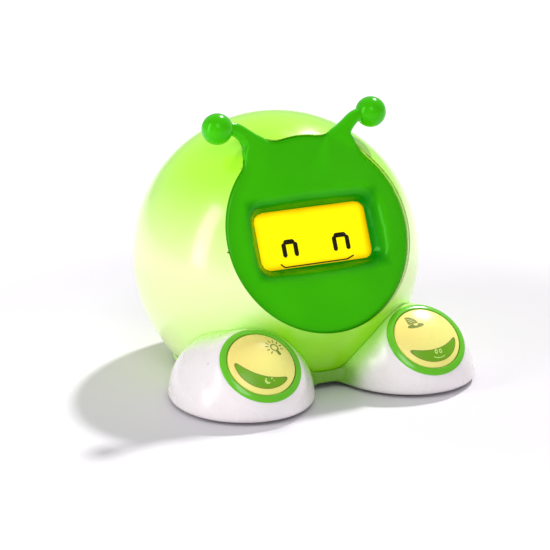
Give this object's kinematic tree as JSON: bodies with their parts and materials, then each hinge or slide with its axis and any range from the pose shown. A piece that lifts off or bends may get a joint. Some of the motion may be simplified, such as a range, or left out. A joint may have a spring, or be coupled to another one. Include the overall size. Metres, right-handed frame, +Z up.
{
  "type": "night light alarm clock",
  "caption": "Round bug-shaped children's night-light alarm clock: translucent globe, tilted domed face with display and feelers, and two big feet with press buttons.",
  "frame": {"origin": "on the surface it stands on, at the middle of the object's width and depth", "axes": "+Z up, +Y from the face towards the back, +X to the right as seen from the front"},
  "size_m": [0.1586, 0.1637, 0.1362],
  "materials": {
    "globe": "translucent, satin-gloss",
    "face_green": "gloss",
    "base_white": "gloss",
    "ring_green": "gloss",
    "cap_cream": "satin",
    "crescent_green": "satin",
    "clear_window": "clear, polished",
    "lcd_yellow": "backlit, smooth",
    "light_white": "smooth",
    "inner_white": "matt",
    "key_white": "gloss",
    "rubber_dark": "matt",
    "board_green": "solder mask",
    "plastic_black": "matt",
    "screw_steel": "plated",
    "cell_wrap": "satin"
  },
  "bodies": {
    "clock_body": {"globe": "globe", "face_bezel": "face_green", "antenna_ball_left": "face_green", "antenna_ball_right": "face_green", "rear_panel": "face_green", "base_housing": "base_white", "bottom_plate": "base_white", "left_button_ring": "ring_green", "right_button_ring": "ring_green", "display_window": "clear_window", "lcd_panel": "lcd_yellow", "lcd_backlight": "light_white", "led_1": "light_white", "led_2": "light_white", "display_chassis": "inner_white", "rear_clamp_ring": "inner_white", "light_board": "inner_white", "foot_pad_front_left": "rubber_dark", "foot_pad_front_right": "rubber_dark", "foot_pad_rear_left": "rubber_dark", "foot_pad_rear_right": "rubber_dark", "rear_keypad": "rubber_dark", "main_board": "board_green", "rear_board": "board_green", "left_button_board": "board_green", "right_button_board": "board_green", "battery_box": "plastic_black", "speaker": "plastic_black", "alarm_switch_body": "plastic_black", "left_button_switch": "plastic_black", "right_button_switch": "plastic_black", "base_screw_1": "screw_steel", "base_screw_2": "screw_steel", "base_screw_3": "screw_steel", "base_screw_4": "screw_steel", "foot_screw_left": "screw_steel", "foot_screw_right": "screw_steel", "face_screw_1": "screw_steel", "face_screw_2": "screw_steel", "face_screw_3": "screw_steel", "face_screw_4": "screw_steel", "rear_screw_1": "screw_steel", "rear_screw_2": "screw_steel", "battery_contact_left": "screw_steel", "battery_contact_right": "screw_steel", "left_button_spring": "screw_steel", "right_button_spring": "screw_steel", "battery_cell_1": "cell_wrap", "battery_cell_2": "cell_wrap", "battery_cell_3": "cell_wrap"},
    "left_foot_button": {"left_button_cap": "cap_cream", "left_button_crescent": "crescent_green"},
    "right_foot_button": {"right_button_cap": "cap_cream", "right_button_crescent": "crescent_green"},
    "set_key_1": {"set_button_1": "key_white"},
    "set_key_2": {"set_button_2": "key_white"},
    "set_key_3": {"set_button_3": "key_white"},
    "alarm_switch": {"alarm_switch_knob": "key_white"},
    "battery_cover": {"battery_door": "base_white", "door_screw": "screw_steel"}
  },
  "joints": [
    {"name": "left_foot_button_press", "type": "slide", "parent": "clock_body", "child": "left_foot_button", "axis": [0, 0.6626, -0.749], "range_m": [0, 0.0015], "stiffness_N_per_m": 900, "springref_m": -0.0012, "deforming": ["left_button_spring"]},
    {"name": "right_foot_button_press", "type": "slide", "parent": "clock_body", "child": "right_foot_button", "axis": [0, 0.6626, -0.749], "range_m": [0, 0.0015], "stiffness_N_per_m": 900, "springref_m": -0.0012, "deforming": ["right_button_spring"]},
    {"name": "set_key_1_press", "type": "slide", "parent": "clock_body", "child": "set_key_1", "axis": [0, -1, 0], "range_m": [0, 0.001], "stiffness_N_per_m": 800, "springref_m": -0.001},
    {"name": "set_key_2_press", "type": "slide", "parent": "clock_body", "child": "set_key_2", "axis": [0, -1, 0], "range_m": [0, 0.001], "stiffness_N_per_m": 800, "springref_m": -0.001},
    {"name": "set_key_3_press", "type": "slide", "parent": "clock_body", "child": "set_key_3", "axis": [0, -1, 0], "range_m": [0, 0.001], "stiffness_N_per_m": 800, "springref_m": -0.001},
    {"name": "alarm_switch_slide", "type": "slide", "parent": "clock_body", "child": "alarm_switch", "axis": [-1, 0, 0], "range_m": [0, 0.004]},
    {"name": "battery_cover_hinge", "type": "hinge", "parent": "clock_body", "child": "battery_cover", "pos_m": [0, 0.02103, 0.0018], "axis": [1, 0, 0], "range_deg": [0, 100]}
  ]
}
